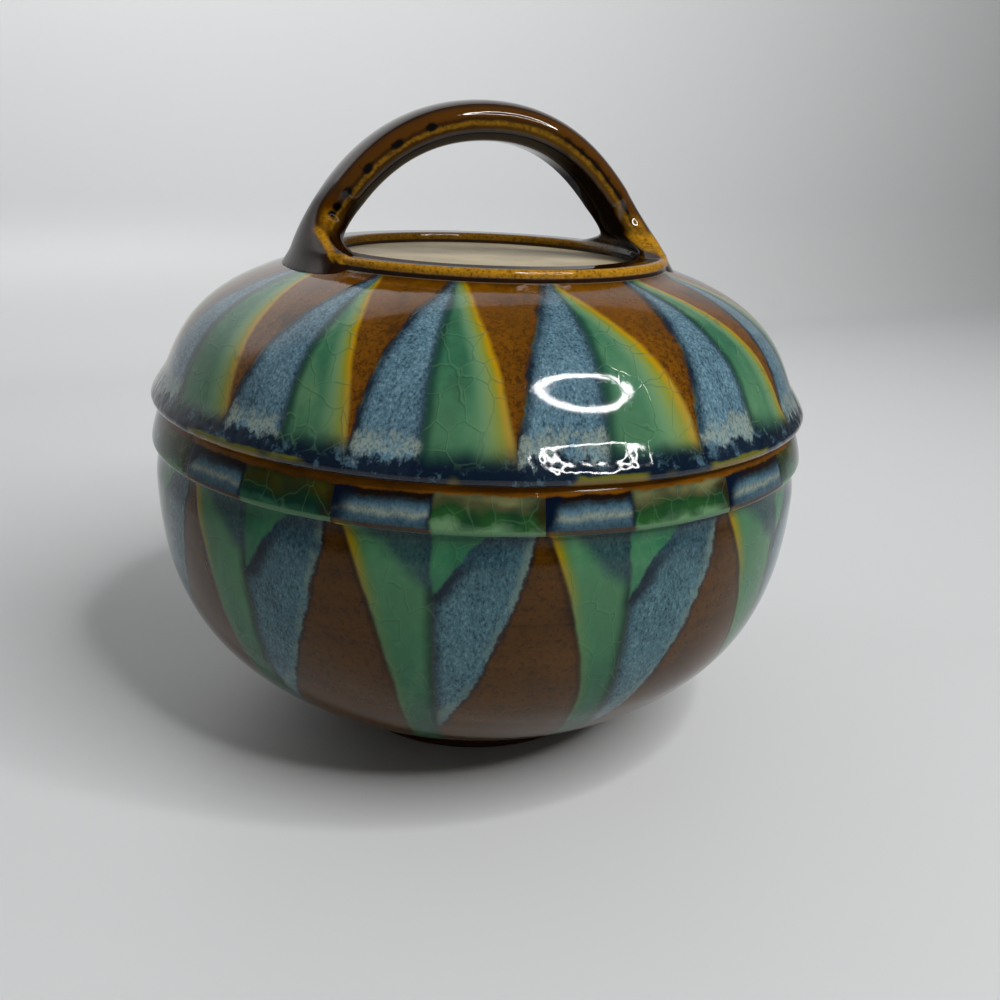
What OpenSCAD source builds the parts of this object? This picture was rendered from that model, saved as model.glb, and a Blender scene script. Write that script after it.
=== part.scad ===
// Stoneware casserole: a footed round bowl with a lift-off domed lid and a strap handle.
// Millimetres. The origin is the middle of the foot on the table, +Z is up and the handle spans X.

/* [Bowl] */
// Diameter of the belly at its widest
belly_d = 199; // [170:1:240]
// Height of the widest part of the belly
belly_z = 82; // [70:1:100]
// Thickness of the bowl's wall
bowl_wall = 6.5; // [4:0.5:9]
// Thickness of the bowl's floor
floor_t = 8; // [6:0.5:14]
// Width of the flat underside that shows around the foot ring
base_lip = 2; // [0.5:0.5:8]
// Angle at which the wall leaves the underside
base_slope = 27; // [15:1:35]
// Reach of that angle along the wall
base_reach = 40; // [25:1:50]
// Reach of the upright belly down the wall
belly_reach = 43; // [25:1:50]

/* [Rim] */
// Distance that the ridge below the rim band stands out from the belly
ridge_proud = 0.7; // [0:0.1:2]
// Radius of the ridge's round nose
ridge_round = 1.3; // [0.8:0.1:2]
// Height of the ridge above the widest part of the belly
ridge_rise = 11.5; // [8:0.5:16]
// Height of the rim band from the ridge to the lid's seat
band_h = 11; // [9:0.5:18]
// Distance that the rim band leans in from ridge to seat
band_lean = 4.8; // [3:0.2:6]
// Width of the rim from the ridge in to the mouth
rim_w = 9.7; // [7.5:0.1:14]
// Depth of the upright mouth wall below the seat
mouth_depth = 11; // [10:0.5:16]

/* [Foot ring] */
// Outer diameter of the foot ring
foot_d = 90; // [70:1:92]
// Width of the foot ring's wall
foot_w = 8; // [5:0.5:14]
// Height of the foot ring
foot_h = 6; // [3:0.5:12]
// Inward slant of the foot ring's sides
foot_slant = 1.2; // [0.5:0.1:2]

/* [Lid] */
// Distance that the lid's edge stays in from the ridge
lid_set_in = 0.6; // [-1:0.1:2]
// Height of the lid from its seat to the crown
lid_h = 38.6; // [30:0.2:50]
// Thickness of the lid's wall
lid_wall = 6; // [4:0.5:8]
// Radius of the lid's rounded edge
edge_round = 1.5; // [1:0.1:2.5]
// Angle by which the lid's side leans in above its edge
flare_angle = 40; // [25:1:50]
// Reach of that lean up the side
flare_reach = 12; // [6:0.5:20]
// Slope of the shoulder where it meets the crown
shoulder_slope = 17; // [8:1:24]
// Reach of that slope out over the shoulder
shoulder_reach = 35.3; // [25:0.1:42]
// Rise of the disc inside the collar ring above the crown
disc_rise = 2.4; // [0.4:0.1:3]

/* [Locating flange] */
// Width of the flange's wall
flange_w = 5; // [3:0.5:7]
// Distance that the flange reaches down into the mouth
flange_h = 8; // [5:0.5:9]
// Radial clearance between flange and mouth
flange_gap = 1.4; // [0.8:0.1:2.5]
// Chamfer on the flange's leading edge
flange_chamfer = 1.2; // [0.5:0.1:2]

/* [Collar ring] */
// Diameter over the collar ring's bead
collar_d = 110.4; // [104:0.2:118]
// Width of the collar ring's wall
collar_w = 10; // [8:0.5:13]
// Height of the collar ring above the crown
collar_h = 5.6; // [4:0.1:8]
// Width of the sweep from the bead down to the crown
collar_sweep = 5.5; // [3:0.1:8]
// Radius of the bead along the collar ring's top edges
collar_round = 1.5; // [0.8:0.1:1.8]

/* [Handle] */
// Height of the handle above the collar ring
handle_h = 42; // [30:0.5:60]
// Thickness of the strap
strap_t = 11.5; // [8:0.1:14]
// Depth of the strap from front to back
strap_depth = 20.5; // [14:0.5:28]
// Angle by which the legs lean in from upright
leg_lean = 32; // [15:1:40]
// Angle by which the right leg leans more than that and the left leg less
leg_skew = 6; // [-8:0.5:8]
// Reach of the legs' lean up the arch
leg_reach = 18.2; // [10:0.1:24]
// Half length of the flat top of the arch
top_reach = 29; // [16:0.5:34]
// Sideways shift of the hand-pulled arch
handle_shift = -1; // [-1.5:0.1:1.5]
// Spread of each root along the collar ring, on both sides of the leg
root_spread = 19; // [6:0.5:22]
// Height over which the roots spread
root_h = 15; // [8:0.5:18]
// Thickness of each root on the collar ring
root_t = 6; // [4:0.5:7]
// Distance of the roots out from the middle of the collar ring's wall
root_set = 1; // [0:0.1:1.5]
// Depth of the finger groove along the strap's edges
groove_depth = 0.7; // [0.3:0.1:1.5]

/* [Hidden] */
$fn = 96;

// Steps of the curves
curve_steps = 20;
nose_steps = 6;
leg_steps = 26;
strap_sides = 28;

// Heights
floor_z = foot_h + floor_t;
ridge_z = belly_z + ridge_rise;
seat_z = ridge_z + band_h;
crown_z = seat_z + lid_h;
disc_z = crown_z + disc_rise;
collar_z = crown_z + collar_h;

// Radii
belly_r = belly_d / 2;
foot_r = foot_d / 2;
base_r = foot_r + base_lip;
ridge_r = belly_r + ridge_proud;
mouth_r = ridge_r - rim_w;
band_top_r = ridge_r - band_lean;
lid_r = ridge_r - lid_set_in;
flange_r = mouth_r - flange_gap;
hollow_r = flange_r - flange_w;
collar_r = collar_d / 2;
crown_r = collar_r + collar_sweep;
collar_in_r = collar_r - collar_w;
// The disc clears the collar ring's inner wall by a hair
disc_r = collar_in_r - 0.2;

// The handle's roots stand on the collar ring's flat top
root_r = collar_r - collar_w / 2 + root_set;
arch_h = handle_h - strap_t / 2;

// Angles where the ridge's nose begins and ends
nose_from = -120;
nose_to = 8;
// Share of a short curve over which it keeps its first and last direction
ease = 1 / 3;
// Share of the mouth's depth over which its wall eases out to the belly
mouth_ease = 0.4;
// How squarely the strap's inner and outer halves are filled, 2 being an ellipse
strap_square = 4;
strap_crown = 2.2;
// Share of the strap's thickness that the finger groove takes
groove_share = 0.1;
// Powers by which the roots turn upright, thin out and spread towards the collar ring
upright_power = 2;
thin_power = 4;
spread_power = 2.6;
// Angle where the collar ring's bead begins, and the reach of the sweep's ends as shares of its size
bead_from = -40;
sweep_out = 0.6;
sweep_in = [0.05, 0.2];
// Power that crowds the handle's sections towards its roots
section_power = 1.4;

function bezier(p, t) =
    pow(1 - t, 3) * p[0] + 3 * pow(1 - t, 2) * t * p[1] + 3 * (1 - t) * t * t * p[2] + pow(t, 3) * p[3];
function bezier_slope(p, t) =
    pow(1 - t, 2) * (p[1] - p[0]) + 2 * (1 - t) * t * (p[2] - p[1]) + t * t * (p[3] - p[2]);
function curve(p, steps) = [for (i = [0 : steps]) bezier(p, i / steps)];
// Points at distance d to the left of the curve's direction
function beside(p, d, steps) = [
    for (i = [0 : steps])
        let (s = bezier_slope(p, i / steps)) bezier(p, i / steps) + d * [-s[1], s[0]] / norm(s)
];
function arc(centre, r, from, to, steps) = [
    for (i = [0 : steps]) let (a = from + (to - from) * i / steps) centre + r * [cos(a), sin(a)]
];
function backwards(list) = [for (i = [len(list) - 1 : -1 : 0]) list[i]];
function after_first(list) = [for (i = [1 : len(list) - 1]) list[i]];
function turned(length, angle) = length * [cos(angle), sin(angle)];

// The bowl's outline, as radius and height
belly_curve = [
    [base_r, foot_h],
    [base_r, foot_h] + turned(base_reach, base_slope),
    [belly_r, belly_z - belly_reach],
    [belly_r, belly_z]
];
nose = arc([ridge_r - ridge_round, ridge_z], ridge_round, nose_from, nose_to, nose_steps);
neck_curve = [
    [belly_r, belly_z],
    [belly_r, belly_z + ease * ridge_rise],
    nose[0] - [0, ease * ridge_rise],
    nose[0]
];
band_curve = [
    nose[nose_steps],
    nose[nose_steps] + turned(ease * band_h, 90 + nose_to),
    [band_top_r + ease * band_lean, seat_z],
    [band_top_r, seat_z]
];
inner_r = belly_r - bowl_wall;
mouth_curve = [
    [mouth_r, seat_z - mouth_depth],
    [mouth_r, seat_z - (1 + mouth_ease) * mouth_depth],
    [inner_r, belly_z + mouth_ease * mouth_depth],
    [inner_r, belly_z]
];
inner_wall = [for (p = beside(belly_curve, bowl_wall, curve_steps)) if (p[1] > floor_z) p];
floor_edge = inner_wall[0] - (inner_wall[0][1] - floor_z) * [1 / tan(base_slope), 1];

module bowl() color("saddlebrown")
    rotate_extrude()
        polygon(concat(
            [[0, foot_h]],
            curve(belly_curve, curve_steps),
            after_first(curve(neck_curve, nose_steps)),
            after_first(nose),
            after_first(curve(band_curve, nose_steps)),
            [[mouth_r, seat_z]],
            curve(mouth_curve, nose_steps),
            after_first(backwards(inner_wall)),
            [floor_edge, [0, floor_z]]
        ));

module foot_ring() color("sienna")
    rotate_extrude()
        polygon([
            [foot_r - foot_w, foot_h],
            [foot_r - foot_w + foot_slant, 0],
            [foot_r - foot_slant, 0],
            [foot_r, foot_h]
        ]);

// The lid's outline, from its edge to its crown
edge_centre = [lid_r - edge_round, seat_z + edge_round];
edge_end = edge_centre + turned(edge_round, flare_angle);
dome_curve = [
    edge_end,
    edge_end + turned(flare_reach, 90 + flare_angle),
    [crown_r, crown_z] + turned(shoulder_reach, -shoulder_slope),
    [crown_r, crown_z]
];
hollow = [for (p = beside(dome_curve, lid_wall, curve_steps)) if (p[0] < hollow_r) p];
hollow_z = crown_z - lid_wall;

module lid() color("olivedrab")
    rotate_extrude()
        polygon(concat(
            arc(edge_centre, edge_round, -90, flare_angle, nose_steps),
            after_first(curve(dome_curve, curve_steps)),
            [[disc_r, crown_z], [disc_r, disc_z], [0, disc_z], [0, hollow_z]],
            backwards(hollow),
            [[hollow_r, hollow[0][1] - (hollow_r - hollow[0][0])], [hollow_r, seat_z]]
        ));

module lid_flange() color("peru")
    rotate_extrude()
        polygon([
            [hollow_r, seat_z],
            [hollow_r, seat_z - flange_h],
            [flange_r - flange_chamfer, seat_z - flange_h],
            [flange_r, seat_z - flange_h + flange_chamfer],
            [flange_r, seat_z]
        ]);

// The collar ring sweeps up from the shoulder to a bead and stands around the recessed disc
collar_outer = [collar_r - collar_round, collar_z - collar_round];
collar_inner = [collar_in_r + collar_round, collar_z - collar_round];
bead = arc(collar_outer, collar_round, bead_from, 90, nose_steps);
sweep_curve = [
    [crown_r, crown_z],
    [crown_r, crown_z] + turned(sweep_out * collar_sweep, 180 - shoulder_slope),
    bead[0] - [sweep_in[0] * collar_sweep, sweep_in[1] * collar_h],
    bead[0]
];

module collar_ring() color("darkgoldenrod")
    rotate_extrude()
        polygon(concat(
            curve(sweep_curve, nose_steps),
            after_first(bead),
            arc(collar_inner, collar_round, 90, 180, nose_steps),
            [[collar_in_r, crown_z]]
        ));

// The strap's route in the XZ plane: up the right leg, over the top and down the left leg
function leg_curve(side) =
    let (lean = leg_lean + side * leg_skew)
    [
        [handle_shift + side * root_r, 0],
        [handle_shift + side * (root_r - leg_reach * sin(lean)), leg_reach * cos(lean)],
        [handle_shift + side * top_reach, arch_h],
        [handle_shift, arch_h]
    ];
// Share of the way from the top of a root down to the collar ring
function root_share(height) = max(0, 1 - height / root_h);
// Direction across the strap's thickness, level at the collar ring
function outward(slope, level) =
    let (run = slope / norm(slope) * (1 - level) + [0, 1] * level) [run[1], -run[0]] / norm(run);

// A strap section as points of thickness and depth: crowned outside, flatter inside, and
// with the finger groove in its front and back edges
function strap_point(i, thick, deep) =
    let (
        a = 360 * i / strap_sides,
        fill = 2 / (cos(a) > 0 ? strap_crown : strap_square),
        u = sign(cos(a)) * pow(abs(cos(a)), fill),
        v = sign(sin(a)) * pow(abs(sin(a)), fill),
        dip = groove_depth * exp(-pow(u / (2 * groove_share), 2))
    )
    [u * thick / 2, v * (deep / 2 - dip)];

// One ring of points: the root bends with the collar ring, the strap runs straight
function strap_ring(side, t) =
    let (
        route = leg_curve(side),
        p = bezier(route, t),
        share = root_share(p[1]),
        slope = bezier_slope(route, t),
        out = outward([side * slope[0], slope[1]], pow(share, upright_power)),
        thick = strap_t - (strap_t - root_t) * pow(share, thin_power),
        deep = strap_depth + 2 * root_spread * pow(share, spread_power)
    )
    [for (i = [0 : strap_sides - 1])
        let (
            q = strap_point(i, thick, deep),
            angle = share * q[1] / root_r * 180 / PI,
            pull = (root_r + q[0]) * (1 - cos(angle)),
            y = (1 - share) * q[1] + share * (root_r + q[0]) * sin(angle)
        )
        [p[0] + side * (q[0] * out[0] - pull), y, collar_z + p[1] + q[0] * out[1]]
    ];

strap_rings = concat(
    [for (i = [0 : leg_steps]) strap_ring(1, pow(i / leg_steps, section_power))],
    [for (i = [leg_steps - 1 : -1 : 0]) strap_ring(-1, pow(i / leg_steps, section_power))]
);
strap_points = [for (ring = strap_rings) for (p = ring) p];
last_ring = (len(strap_rings) - 1) * strap_sides;
strap_faces = concat(
    [[for (i = [0 : strap_sides - 1]) i]],
    [[for (i = [strap_sides - 1 : -1 : 0]) last_ring + i]],
    [for (k = [0 : len(strap_rings) - 2]) for (i = [0 : strap_sides - 1])
        let (a = k * strap_sides + i, b = k * strap_sides + (i + 1) % strap_sides)
        for (face = [[a, a + strap_sides, b], [b, a + strap_sides, b + strap_sides]]) face]
);

module handle() color("goldenrod")
    polyhedron(strap_points, strap_faces, convexity = 6);

bowl();
foot_ring();
lid();
lid_flange();
collar_ring();
handle();
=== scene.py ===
"""A stoneware casserole: thrown bowl, lift-off lid and pulled strap handle under streaked glazes."""
import math

import bpy
import numpy as np
from mathutils import Matrix, Vector


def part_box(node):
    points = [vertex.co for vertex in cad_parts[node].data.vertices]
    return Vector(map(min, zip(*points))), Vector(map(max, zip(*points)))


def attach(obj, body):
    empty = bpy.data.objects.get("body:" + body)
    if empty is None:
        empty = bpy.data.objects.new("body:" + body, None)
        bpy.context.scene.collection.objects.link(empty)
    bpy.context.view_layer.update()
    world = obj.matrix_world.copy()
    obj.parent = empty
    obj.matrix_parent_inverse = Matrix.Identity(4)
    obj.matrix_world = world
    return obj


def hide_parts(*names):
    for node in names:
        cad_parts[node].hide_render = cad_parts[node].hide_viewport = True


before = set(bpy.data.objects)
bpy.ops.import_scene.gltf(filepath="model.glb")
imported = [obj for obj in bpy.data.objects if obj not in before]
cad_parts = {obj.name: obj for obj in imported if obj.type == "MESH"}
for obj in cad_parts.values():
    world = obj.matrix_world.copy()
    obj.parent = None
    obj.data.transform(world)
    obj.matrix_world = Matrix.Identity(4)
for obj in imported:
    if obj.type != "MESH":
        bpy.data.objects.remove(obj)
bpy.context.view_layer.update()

bl_info = {
    "name": "Stoneware casserole",
    "version": (1, 0, 0),
    "blender": (4, 5, 0),
    "location": "View3D > Sidebar > Casserole",
    "description": "Throws, glazes and lights a lidded stoneware casserole",
    "category": "Add Mesh",
}

MM = 0.001
TURN = 2 * math.pi

# Profile steps: round the pot, along a long wall, along a short curve
ROUND_STEPS = 288
WALL_STEPS = 72
SHORT_STEPS = 14
# Points of a profile that are closer than this are one point
SAME_POINT = 0.02 * MM

BOWL_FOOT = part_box("bowl")[0].z
BOWL_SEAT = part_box("bowl")[1].z
RIDGE_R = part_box("bowl")[1].x
LID_SHOULDER = 143.1 * MM
COLLAR_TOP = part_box("collar_ring")[1].z
HANDLE_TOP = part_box("handle")[1].z
# How suddenly a root of the handle spreads towards its foot
ROOT_FLARE = 2.6


def srgb(red, green, blue):
    """A colour written as it is seen, 0 to 255, in the linear form that shaders use."""
    return tuple((c / 255) ** 2.2 for c in (red, green, blue))


def shade(colour, share):
    """The colour made darker or lighter."""
    return [share * c for c in colour]


def between(first, second, share=0.5):
    """A colour on the way from the first to the second."""
    return [(1 - share) * a + share * b for a, b in zip(first, second)]


def length(name, description, default):
    return bpy.props.FloatProperty(name=name, description=description, default=default, min=0,
                                   unit="LENGTH", subtype="DISTANCE", precision=4)


def tint(name, description, red, green, blue):
    return bpy.props.FloatVectorProperty(name=name, description=description, default=srgb(red, green, blue),
                                         min=0, max=1, subtype="COLOR")


class PotSizes(bpy.types.PropertyGroup):
    """Sizes of the thrown and pulled pieces."""
    belly_r: length("Belly radius", "Radius of the belly at its widest", 99.5 * MM)
    belly_z: length("Belly height", "Height of the widest part of the belly", 82 * MM)
    bowl_wall: length("Bowl wall", "Thickness of the bowl's wall", 6.5 * MM)
    floor_t: length("Bowl floor", "Thickness of the bowl's floor", 8 * MM)
    base_r: length("Base radius", "Radius of the flat underside", 47 * MM)
    ridge_z: length("Ridge height", "Height of the ridge below the rim band", 93.5 * MM)
    ridge_round: length("Ridge nose", "Radius of the ridge's round nose", 1.3 * MM)
    band_lean: length("Band lean", "Distance that the rim band leans in", 4.8 * MM)
    mouth_r: length("Mouth radius", "Radius of the bowl's mouth", 90.5 * MM)
    mouth_depth: length("Mouth depth", "Depth of the upright mouth wall", 11 * MM)
    foot_r: length("Foot radius", "Outer radius of the foot ring", 45 * MM)
    foot_w: length("Foot width", "Width of the foot ring's wall", 8 * MM)
    foot_slant: length("Foot slant", "Inward slant of the foot ring's sides", 1.2 * MM)
    lid_r: length("Lid radius", "Radius of the lid's rounded edge", 99.6 * MM)
    lid_wall: length("Lid wall", "Thickness of the lid's wall", 6 * MM)
    edge_round: length("Lid edge", "Radius of the lid's rounded edge", 1.5 * MM)
    edge_pool: length("Edge pool", "Thickness of the glaze that pooled above the lid's edge", 0.5 * MM)
    flange_r: length("Flange radius", "Outer radius of the locating flange", 89.1 * MM)
    flange_w: length("Flange width", "Width of the flange's wall", 5 * MM)
    flange_h: length("Flange height", "Distance that the flange reaches into the mouth", 8 * MM)
    collar_r: length("Collar radius", "Radius of the collar ring's ridge", 55.2 * MM)
    collar_w: length("Collar width", "Width of the collar ring's wall", 10 * MM)
    collar_sweep: length("Collar sweep", "Width of the sweep from the ridge to the crown", 5.5 * MM)
    collar_round: length("Collar bead", "Radius of the bead along the collar ring", 1.5 * MM)
    disc_rise: length("Disc rise", "Rise of the disc inside the collar above the crown", 2.4 * MM)
    strap_t: length("Strap thickness", "Thickness of the handle's strap", 11.5 * MM)
    strap_depth: length("Strap depth", "Depth of the strap from front to back", 20.5 * MM)
    root_spread: length("Root spread", "Spread of each root along the collar ring", 19 * MM)
    root_h: length("Root height", "Height over which the roots spread", 15 * MM)
    root_t: length("Root thickness", "Thickness of each root on the collar ring", 6 * MM)
    groove: length("Groove depth", "Depth of the finger groove along the strap's edges", 0.3 * MM)
    unevenness: length("Unevenness", "How far the hand-thrown wall wanders", 0.35 * MM)


class GlazeColours(bpy.types.PropertyGroup):
    """Colours of the glazes and of the clay."""
    brown: tint("Brown", "Honey brown ground glaze", 100, 62, 7)
    brown_dark: tint("Dark brown", "Ground glaze where it lies thick", 42, 26, 6)
    amber: tint("Amber", "Edge where green runs thin over brown", 172, 132, 8)
    olive: tint("Olive", "Green on its way to amber", 132, 134, 40)
    green: tint("Green", "Crazed green glaze", 58, 110, 82)
    green_pale: tint("Pale green", "Green glaze where it lies thin", 104, 143, 103)
    moss: tint("Moss", "Green glaze where it lies thick on the rim band", 38, 74, 40)
    teal: tint("Teal", "Green glaze where it pools", 20, 54, 48)
    blue: tint("Blue", "Mottled blue glaze", 88, 120, 136)
    blue_pale: tint("Pale blue", "Bright flecks in the blue glaze", 122, 150, 160)
    navy: tint("Navy", "Dark specks and pools of the blue glaze", 8, 24, 42)
    cream: tint("Cream", "Milky runs at the foot of the blue wedges", 136, 148, 136)
    straw: tint("Straw", "Thin green glaze at the top of the rim band", 124, 126, 84)
    clay: tint("Clay", "Bare clay at the seat and the foot", 84, 54, 28)
    strap_brown: tint("Handle brown", "Dark brown glaze of the handle", 40, 23, 7)
    disc: tint("Disc", "Thin pale glaze on the disc inside the collar", 186, 171, 140)
    gold: tint("Gold", "Glaze breaking golden over the ridges", 168, 120, 30)
    # The pits' colour is also used as a painted shadow along the collar's front inner edge
    pit: tint("Pits", "Pools in the grooves of the handle", 10, 6, 3)


class StudioSettings(bpy.types.PropertyGroup):
    """Floor, lamps and camera."""
    floor: tint("Floor", "Colour of the floor and backdrop", 222, 223, 224)
    ring_power: bpy.props.FloatProperty(
        name="Ring lamp", description="Power of the ring lamp", default=8.5, min=0, unit="POWER")
    backdrop_power: bpy.props.FloatProperty(
        name="Backdrop lamp", description="Power of the lamp on the backdrop", default=5, min=0, unit="POWER")
    sky: bpy.props.FloatProperty(
        name="Fill", description="Strength of the soft light from all round", default=0.1, min=0)
    lens: bpy.props.FloatProperty(
        name="Lens", description="Focal length of the camera in millimetres", default=37.755, min=1)


# Profiles, as lists of radius and height

def bezier(points, t):
    a, b, c, d = (Vector(p) for p in points)
    return (1 - t) ** 3 * a + 3 * (1 - t) ** 2 * t * b + 3 * (1 - t) * t * t * c + t ** 3 * d


def slope(points, t):
    a, b, c, d = (Vector(p) for p in points)
    return (1 - t) ** 2 * (b - a) + 2 * (1 - t) * t * (c - b) + t * t * (d - c)


def curve(points, steps):
    return [bezier(points, i / steps) for i in range(steps + 1)]


def beside(points, distance, steps):
    """Points to the left of a curve's direction."""
    made = []
    for i in range(steps + 1):
        along = slope(points, i / steps).normalized()
        made.append(bezier(points, i / steps) + distance * Vector((-along.y, along.x)))
    return made


def arc(centre, radius, start, end, steps):
    turns = [math.radians(start + (end - start) * i / steps) for i in range(steps + 1)]
    return [Vector(centre) + radius * Vector((math.cos(a), math.sin(a))) for a in turns]


def towards(reach, degrees):
    return reach * Vector((math.cos(math.radians(degrees)), math.sin(math.radians(degrees))))


def straight(start, end, steps):
    return [Vector(start).lerp(Vector(end), i / steps) for i in range(steps + 1)]


def soft_corner(before, corner, after, radius, steps=5):
    """A corner rounded off between its two straight sides."""
    before, corner, after = Vector(before), Vector(corner), Vector(after)
    start = corner + (before - corner).normalized() * radius
    end = corner + (after - corner).normalized() * radius
    return [start * (1 - t) ** 2 + corner * 2 * t * (1 - t) + end * t * t
            for t in (i / steps for i in range(steps + 1))]


def joined(*stretches):
    """One outline from stretches that may share their end points."""
    outline = []
    for stretch in stretches:
        for point in stretch:
            if not outline or (Vector(point) - outline[-1]).length > SAME_POINT:
                outline.append(Vector(point))
    return outline


def run_lengths(outline):
    """How far each point lies along the outline."""
    runs = [0.0]
    for before, after in zip(outline, outline[1:]):
        runs.append(runs[-1] + (after - before).length)
    return runs


# Modelling

def deselect():
    if bpy.context.mode != "OBJECT":
        bpy.ops.object.mode_set(mode="OBJECT")
    bpy.ops.object.select_all(action="DESELECT")


def draw_line(places):
    """Makes the new plane one point, and extrudes it from place to place."""
    bpy.ops.object.mode_set(mode="EDIT")
    bpy.ops.mesh.merge(type="CENTER")
    bpy.ops.transform.translate(value=places[0])
    for before, after in zip(places, places[1:]):
        step = [b - a for a, b in zip(before, after)]
        bpy.ops.mesh.extrude_region_move(TRANSFORM_OT_translate={"value": step})


def thrown(name, outline, marks, loop=False):
    """Draws the outline by extruding one point, then spins it round the pot's axis.

    Each mark is the number that its point keeps in the attribute run.
    """
    deselect()
    bpy.ops.mesh.primitive_plane_add(size=MM, location=(0, 0, 0))
    piece = bpy.context.active_object
    piece.name = name
    piece.data.name = name
    draw_line([(p.x, 0, p.y) for p in outline])
    if loop:
        bpy.ops.mesh.select_all(action="SELECT")
        bpy.ops.mesh.edge_face_add()
        bpy.ops.mesh.delete(type="ONLY_FACE")
    bpy.ops.object.mode_set(mode="OBJECT")
    spots = np.array([(p.x, p.y) for p in outline])
    kept = piece.data.attributes.new("run", "FLOAT", "POINT")
    for vertex in piece.data.vertices:
        gaps = np.hypot(spots[:, 0] - vertex.co.x, spots[:, 1] - vertex.co.z)
        kept.data[vertex.index].value = marks[int(gaps.argmin())]
    bpy.ops.object.mode_set(mode="EDIT")
    bpy.ops.mesh.select_all(action="SELECT")
    bpy.ops.mesh.spin(steps=ROUND_STEPS, angle=TURN, center=(0, 0, 0), axis=(0, 0, 1))
    bpy.ops.mesh.select_all(action="SELECT")
    bpy.ops.mesh.remove_doubles(threshold=0.01 * MM)
    bpy.ops.mesh.normals_make_consistent(inside=False)
    bpy.ops.object.mode_set(mode="OBJECT")
    return piece


def hand_worked(piece, amount, patch, rises, falls):
    """Lets the wall wander by a little, in patches, between two stretches of its run."""
    group = piece.vertex_groups.new(name="worked")
    runs = piece.data.attributes["run"].data
    for vertex in piece.data.vertices:
        share = plateau(runs[vertex.index].value, rises, falls)
        if share > 0:
            group.add([vertex.index], share, "REPLACE")
    clouds = bpy.data.textures.new(piece.name + "_hand", "CLOUDS")
    clouds.noise_scale = patch
    clouds.noise_depth = 1
    wander = piece.modifiers.new("hand", "DISPLACE")
    wander.texture = clouds
    wander.texture_coords = "LOCAL"
    wander.vertex_group = "worked"
    wander.strength = 2 * amount
    wander.mid_level = 0.5
    apply_all(piece)
    piece.vertex_groups.clear()


def apply_all(piece):
    deselect()
    piece.select_set(True)
    bpy.context.view_layer.objects.active = piece
    for name in [m.name for m in piece.modifiers]:
        bpy.ops.object.modifier_apply(modifier=name)


def smooth(piece, degrees=40):
    deselect()
    piece.select_set(True)
    bpy.context.view_layer.objects.active = piece
    bpy.ops.object.shade_smooth_by_angle(angle=math.radians(degrees))


def ramped(value, low, high):
    share = min(1, max(0, (value - low) / (high - low)))
    return share * share * (3 - 2 * share)


def plateau(value, rises, falls):
    """0 to 1 over the two values of rises, and back to 0 over those of falls."""
    return ramped(value, *rises) * (1 - ramped(value, *falls))


def dress(piece, glaze, body, slot, *nodes):
    """Gives a finished piece its glaze and its body, and hides the solids that it stands for."""
    piece.data.materials.clear()
    piece.data.materials.append(glaze)
    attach(piece, body)
    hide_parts(*nodes)


# Shader arithmetic

GLASS_IOR = 1.45
COAT_ROUGHNESS = 0.035
# Width of the meshes in the crazed green, in millimetres
CRAZE_MESH = 6.5


class Flow:
    """A number that changes over the surface: arithmetic with it adds Math nodes."""

    def __init__(self, glaze, socket):
        self.glaze = glaze
        self.socket = socket

    def __add__(self, other):
        return self.glaze.maths("ADD", self, other)

    def __radd__(self, other):
        return self.glaze.maths("ADD", other, self)

    def __sub__(self, other):
        return self.glaze.maths("SUBTRACT", self, other)

    def __rsub__(self, other):
        return self.glaze.maths("SUBTRACT", other, self)

    def __mul__(self, other):
        return self.glaze.maths("MULTIPLY", self, other)

    def __rmul__(self, other):
        return self.glaze.maths("MULTIPLY", other, self)

    def __truediv__(self, other):
        return self.glaze.maths("DIVIDE", self, other)

    def __rtruediv__(self, other):
        return self.glaze.maths("DIVIDE", other, self)

    def __pow__(self, other):
        return self.glaze.maths("POWER", self, other)

    def __neg__(self):
        return self.glaze.maths("MULTIPLY", self, -1)

    def __abs__(self):
        return self.glaze.maths("ABSOLUTE", self)


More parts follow.
